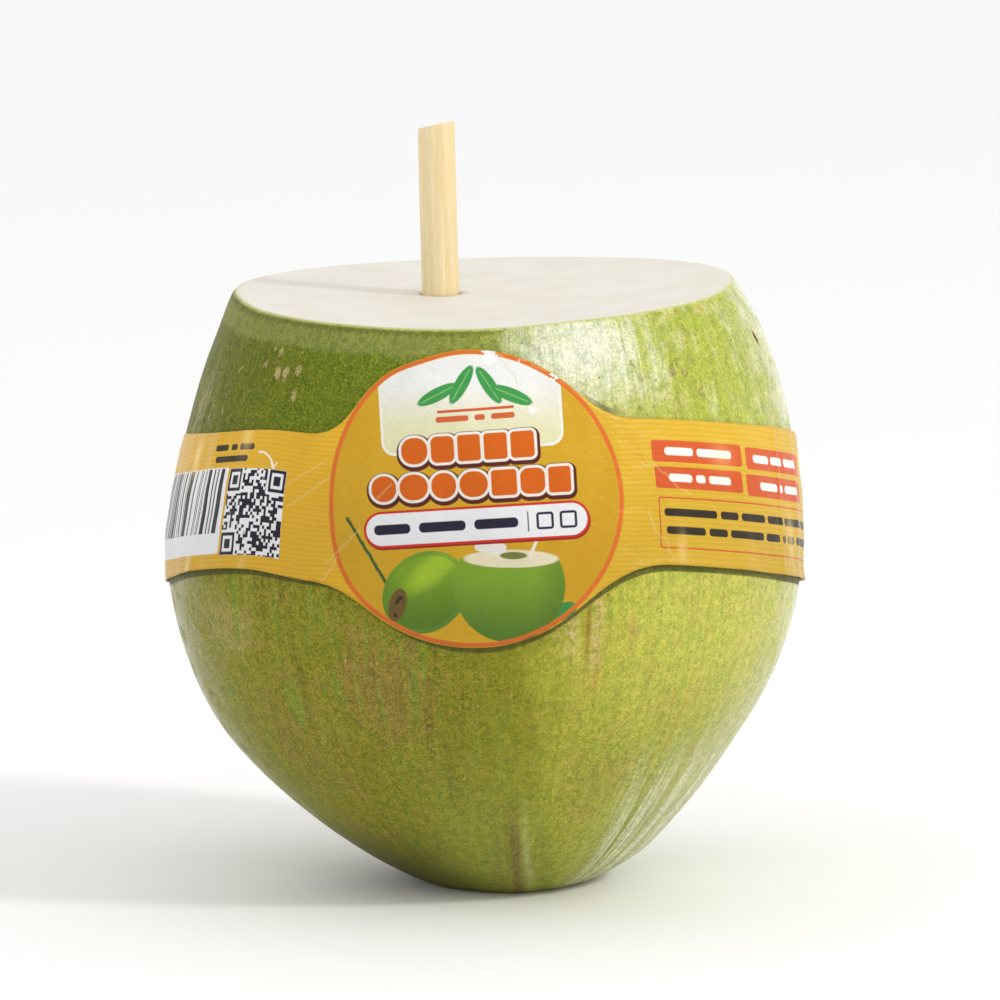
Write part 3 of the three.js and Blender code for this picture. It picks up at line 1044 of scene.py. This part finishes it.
def print_panel(g, level, edge):
    """The pale panel in the upper part of the round label, with a plain sprig on it."""
    panel = g.box(-1.8, 28, 19.9, 17.4, 3, PANEL_TURN)
    tone = g.mix(g.step(level, 14, 28), g.paint(0xE2DEB4), g.paint(0xECECEA))
    within = g.math("MINIMUM", g.inside(panel), g.step(edge, 1, 1.2))
    g.lay(within, 0xF0EEE4)
    g.lay(g.math("MINIMUM", g.inside(g.add(panel, 0.55)), g.step(edge, 1.5, 1.7)), tone)
    for x, y, turn in LEAVES:
        g.fill(g.oval(x, y, *LEAF_HALF, turn), 0x3E984A)
        g.fill(g.box(x, y, LEAF_HALF[0] * 0.8, 0.13, 0.1, turn), 0x96C882, 0.7)
    g.fill(g.box(-0.3, 19.9, 8.4, 0.32, 0.3, PANEL_TURN), 0xCC5C2C)
    g.words(-9, 17.6, 1.3, PANEL_TURN, 0xCE6432, (7.2, 2.3, 5.2), 1.3)


def print_pill(g):
    """The long white box under the title, with dashes, a line and two small squares."""
    pill = g.box(0, -5.6, *PILL, LINE_TURN)
    g.fill(g.box(0.2, -6, *PILL, LINE_TURN), 0x96221A)
    g.fill(pill, 0xCE301E)
    g.fill(g.add(pill, 0.55), 0xECECEE)
    g.words(-22.4, -6.9, 2.2, LINE_TURN, 0x221E36, (7.9, 10.2, 9.6), 1.9)
    g.fill(g.box(11.2, -4.95, 0.14, 2.2, 0.1, LINE_TURN), 0x464256)
    rise = math.tan(math.radians(LINE_TURN))
    for x in (14.9, 20):
        square = g.box(x, -5.6 + x * rise, 1.9, 1.9, 0.7, LINE_TURN)
        g.lay(g.rim(square, 0.55), 0x28243C)


def print_picture(g):
    """Two plain green fruits, one of them cut open, and a stalk."""
    a, b, _ = g.split(g.place)
    mottle = g.noise(g.place, 0.5, 3)
    g.place, kept = g.join(g.add(a, g.sway(mottle, 0.8)), b), g.place
    g.fill(g.box(-23.6, -12, 0.36, 9.4, 0.3, 31), 0x4A602A)
    g.place = kept

    left = g.oval(-11.2, -20.4, 9.9, 8.5, 38)
    sheen = g.times(g.oval(-9.6, -15.5, 6, 2.2, 38), -0.18)
    g.fill(left, g.mix(g.step(b, -29, -13), g.paint(0x587C1E), g.paint(0x7EA422)))
    g.lay(g.times(g.step(sheen, -0.3, 0.2), g.inside(left)), 0xACCC32, 0.75)
    g.lay(g.rim(left, 0.9), 0x648E32, 0.5)
    g.fill(g.oval(-17.3, -23.2, 1.9, 3.7, -14), 0x705828)
    eye = g.inside(g.oval(-17.1, -23.6, 0.9, 2.6, -14))
    g.lay(g.times(eye, g.step(mottle, 0.45, 0.6)), 0x302816)
    g.fill(g.oval(19, -24.4, 3, 1.7, 24), 0x3E8E42)

    right = g.math("MAXIMUM", g.oval(7.1, -19, 12.2, 12.3), g.add(b, 13))
    green = g.mix(g.step(b, -31, -15), g.paint(0x567A22), g.paint(0x7EA22A))
    green = g.mix(g.times(g.step(a, 12, 19), 0.5), green, g.paint(0x4E701E))
    g.fill(right, green)
    g.fill(g.oval(7.5, -13.1, 10.3, 1.95), 0xE8DEBC)
    g.fill(g.box(3, -10.6, 3.4, 1.4, 0.7, -14), 0xECE6DC)
    g.fill(g.oval(8, -12.4, 3, 0.8), 0x787C3C)
    g.fill(g.box(12.3, -10.9, 0.34, 1.9, 0.3, -24), 0xF0E8D6)


def print_code(g, white, black):
    """A square pattern that codes nothing, with its three corner squares."""
    code = g.inside(g.box(*CODE_AT, CODE_HALF, CODE_HALF, 0.2))
    g.lay(code, white)
    cell = g.vector("FLOOR", g.vector("MULTIPLY", g.place, (1.4, 1.4, 0)))
    dark = g.node("ShaderNodeTexWhiteNoise", {"Vector": cell}, noise_dimensions="3D")
    g.lay(g.times(g.step(dark, 0.47, 0.49), code), black)
    across, up, _ = g.split(g.local(*CODE_AT))
    in_x, in_y = (g.add(g.math("ABSOLUTE", off), -7.1) for off in (across, up))
    corner = g.join(in_x, in_y)
    shown = g.math("MAXIMUM", g.step(across, 0.1, -0.1), g.step(up, -0.1, 0.1))
    shown = g.times(shown, code)
    for half, tint in ((3.1, white), (2.5, black), (1.75, white), (1.05, black)):
        g.lay(g.times(g.inside(g.box_in(corner, half, half, 0.2)), shown), tint)


def print_left_band(g):
    """The code panels on the left, with two lines of dashes and an arrow over them."""
    a, b, _ = g.split(g.place)
    white, black = 0xF2F2F3, 0x1E162A
    dash, arrow = 0x3C3424, 0xF8F4E6
    g.place, kept = g.join(g.add(a, g.times(b, CODE_LEAN)), b), g.place
    g.fill(g.box(-91.2, -2.4, 23.4, 9.6, 0.4), white)
    bar = g.math("FLOOR", g.times(a, 2.3))
    bar = g.node("ShaderNodeTexWhiteNoise", {"W": bar}, noise_dimensions="1D")
    bars = g.inside(g.box(-90.4, -0.2, 21.3, 7.2, 0.2))
    g.lay(g.times(g.step(bar, 0.50, 0.52), bars), 0x34343A)
    print_code(g, white, black)
    g.place = kept

    g.words(-74.6, 11.7, 1.4, 0, dash, (4.6, 2.4, 5.4))
    g.words(-74, 9.1, 1.4, 0, dash, (12.4,))
    bow = g.rim(g.oval(-57.6, 4.7, 6, 6), 0.4)
    g.lay(g.times(bow, g.times(g.step(a, -58.6, -58), g.step(b, 7.2, 7.6))), arrow)
    for turn in (-32, 32):
        g.fill(g.box(-52.5 - turn / 64, 7.7, 0.17, 0.9, 0.1, turn), arrow)


def print_right_band(g):
    """The red boxes and the outlined box on the right, with dashes for their words."""
    red, cream, brown = 0xD45A28, 0xFAF0E8, 0x342A1A
    for x, y, half, lengths in RED_BOXES:
        g.fill(g.box(x, y, half, 2.35, 0.8), red)
        length = sum(lengths) + WORD_GAP * (len(lengths) - 1)
        g.words(x - length / 2, y, 1.7, 0, cream, lengths)
    g.lay(g.rim(g.box(84.7, -6.6, 42.5, 5.6, 0.5), 0.34), red)
    g.words(43.6, -4.3, 1.7, 0, brown, WORDS_UPPER)
    g.words(43.9, -8.2, 1.7, 0, brown, WORDS_LOWER)


def print_round(g, level, edge, mottle, speckle):
    """The round part, which covers what is under it."""
    inner = g.mix(g.step(mottle, 0.35, 0.7), g.paint(0xD4A622), g.paint(0xCC9C1A))
    g.lay(g.step(edge, -0.05, 0.05), inner)
    print_panel(g, level, edge)
    print_picture(g)
    g.tiles(-16.5, 10.5, 5.9, LINE_TURN, TITLE_UPPER)
    g.tiles(-23, 2.1, 5.7, 3, TITLE_LOWER)
    print_pill(g)
    ring = g.math("ABSOLUTE", g.add(edge, -0.6))
    g.fill(g.add(ring, -0.46), 0xDE7028)
    # painted glare on the crinkled film
    for x, y, radius in GLARE_SPOTS:
        white = g.add(g.oval(x, y, radius, radius), g.sway(speckle, 4))
        g.fill(white, 0xFCFCFA, 0.9)


def band_lines(g, arc, band_level):
    """Thin wavy lines along the band. Gives their height."""
    waver = g.noise(g.join(g.times(arc, 0.12), g.times(band_level, 0.3)), 0.8, 2)
    phase = g.add(g.times(band_level, 5.7), g.times(waver, 6))
    lines = g.times(g.add(g.math("SINE", phase), 1), 0.5)
    g.lay(g.step(lines, 0.55, 1), 0xEABC46, 0.32)
    g.lay(g.step(lines, 0.4, 0), 0xC4941A, 0.16)
    return lines


def film_glints(g, arc, band_level, back, mottle):
    """Glints on the folds, and the glued overlap at the back."""
    for along, up, wide, tall, strength in GLINTS:
        glint = g.times(g.bell(arc, along, wide), g.bell(band_level, up, tall))
        glint = g.times(glint, g.step(mottle, 0.25, 0.6, 0.5))
        g.lay(glint, 0xFFE496, strength)
    g.lay(g.step(back, SEAM_HALF + 0.1, SEAM_HALF - 0.1), 0xD4A622)
    g.lay(g.bell(back, SEAM_HALF, 0.2), 0xF0D078, 0.7)


def film_creases(g, height):
    """Fine creases, each with a painted highlight along it. Gives the film's height with them."""
    shaken = g.times(g.noise(g.place, 0.2, 1), 2 * CREASE_SHIFT)
    g.place = g.vector("ADD", g.place, g.join(shaken, shaken))
    for ax, ay, bx, by in CREASES:
        turn = math.degrees(math.atan2(by - ay, bx - ax))
        half = math.hypot(bx - ax, by - ay) / 2
        x, y = (ax + bx) / 2 + CREASE_SHIFT, (ay + by) / 2 + CREASE_SHIFT
        ridge = g.step(g.box(x, y, half, CREASE_HALF, 0.05, turn), 0.35, -0.05)
        # painted highlight along the crease
        g.lay(ridge, 0xFAE2A0, 0.25)
        height = g.add(height, ridge)
    return height


def film_material():
    g = Art("printed_film", FILM_LIGHT)
    front, wrap = g.attribute("front"), g.attribute("wrap")
    _, level, edge = g.split(front)
    arc, band_level, back = g.split(wrap)
    mottle = g.noise(front, 0.05, 3)
    speckle = g.noise(front, 1.4, 2)
    g.colour = g.mix(g.step(arc, -60, 70), g.paint(0xE3B024), g.paint(0xD9B02E))
    g.place = wrap
    lines = band_lines(g, arc, band_level)
    print_left_band(g)
    print_right_band(g)
    g.place = front
    print_round(g, level, edge, mottle, speckle)
    film_glints(g, arc, band_level, back, mottle)
    height = film_creases(g, g.times(lines, 0.25))

    tone = g.step(g.add(g.times(speckle, 0.4), g.times(mottle, 0.6)), 0.3, 0.7, 0.95, 1.06)
    # Painted shade: the film darker towards its foot and lighter towards its top
    tone = g.times(tone, g.step(level, -18, 16, 0.9, 1.07))
    wrinkle = g.noise(g.join(g.times(arc, 0.5), g.times(level, 0.9)), 0.28, 3, 0.55, 0.6)
    normal = g.bump(wrinkle, 0.5, 0.0012)
    return g.finish(
        Base_Color=g.toned(tone, tone, tone),
        Roughness=g.step(speckle, 0.3, 0.7, 0.3, 0.4),
        Normal=g.bump(height, 0.35, 0.0003, normal),
        Specular_IOR_Level=0.14,
        Coat_Weight=0.14,
        Coat_Roughness=0.14,
    )


# ---- Studio ----

CAMERA_ELEVATION = math.radians(8.2)
CAMERA_LENS = 600.0
SENSOR = 36.0
VIEW_WIDTH = 0.2222  # metres across the picture, at the fruit
TARGET = Vector((0.00356, 0.0, 0.0854))

KEY_AZIMUTH = math.radians(62)  # from the front towards the right
KEY_ELEVATION = math.radians(34)
KEY_DISTANCE = 1.6
KEY_SIZE = 0.24
KEY_POWER = 9.0
KEY_COLOUR = (1.0, 0.98, 0.95)
KEY_AIM = Vector((0, 0, 0.08))
WORLD_STRENGTH = 1.0
FLOOR_HALF = 6.0
FLOOR_WHITE = 0.9
FAR_CLIP = 50.0


def direction(azimuth, elevation):
    flat = math.cos(elevation)
    return Vector((math.sin(azimuth) * flat, -math.cos(azimuth) * flat, math.sin(elevation)))


def stand(name, data, aim, back, distance):
    """A camera or a light, at a distance back from what it is aimed at."""
    made = bpy.data.objects.new(name, data)
    made.location = aim + back * distance
    made.rotation_euler = (-back).to_track_quat("-Z", "Y").to_euler()
    bpy.context.collection.objects.link(made)
    return made


def make_camera():
    data = bpy.data.cameras.new("camera")
    data.lens, data.sensor_width, data.clip_end = CAMERA_LENS, SENSOR, FAR_CLIP
    distance = VIEW_WIDTH * CAMERA_LENS / SENSOR
    back = direction(0.0, CAMERA_ELEVATION)
    bpy.context.scene.camera = stand("camera", data, TARGET, back, distance)


def make_key():
    data = bpy.data.lights.new("key", "AREA")
    data.shape, data.size, data.energy, data.color = "DISK", KEY_SIZE, KEY_POWER, KEY_COLOUR
    stand("key", data, KEY_AIM, direction(KEY_AZIMUTH, KEY_ELEVATION), KEY_DISTANCE)


def make_world():
    world = bpy.data.worlds.new("studio")
    world.use_nodes = True
    background = world.node_tree.nodes["Background"]
    background.inputs["Color"].default_value = (1.0, 1.0, 1.0, 1.0)
    background.inputs["Strength"].default_value = WORLD_STRENGTH
    bpy.context.scene.world = world


def make_floor():
    mesh = bpy.data.meshes.new("floor")
    signs = [(-1, -1), (1, -1), (1, 1), (-1, 1)]
    corners = [(x * FLOOR_HALF, y * FLOOR_HALF, 0) for x, y in signs]
    mesh.from_pydata(corners, [], [(0, 1, 2, 3)])
    made = bpy.data.objects.new("floor", mesh)
    bpy.context.collection.objects.link(made)
    g = Graph("floor_white")
    mesh.materials.append(g.finish(Base_Color=(*[FLOOR_WHITE] * 3, 1.0), Roughness=0.8))


# ---- The object ----

make_camera()
make_world()
make_key()
make_floor()

coconut = build_coconut()
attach(coconut, "root")
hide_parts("coconut")

label = build_label()
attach(label, "root")
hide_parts("wrap_label")

straw = build_straw()
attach(straw, "root")
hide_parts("straw")

bpy.context.scene.view_settings.view_transform = "Standard"
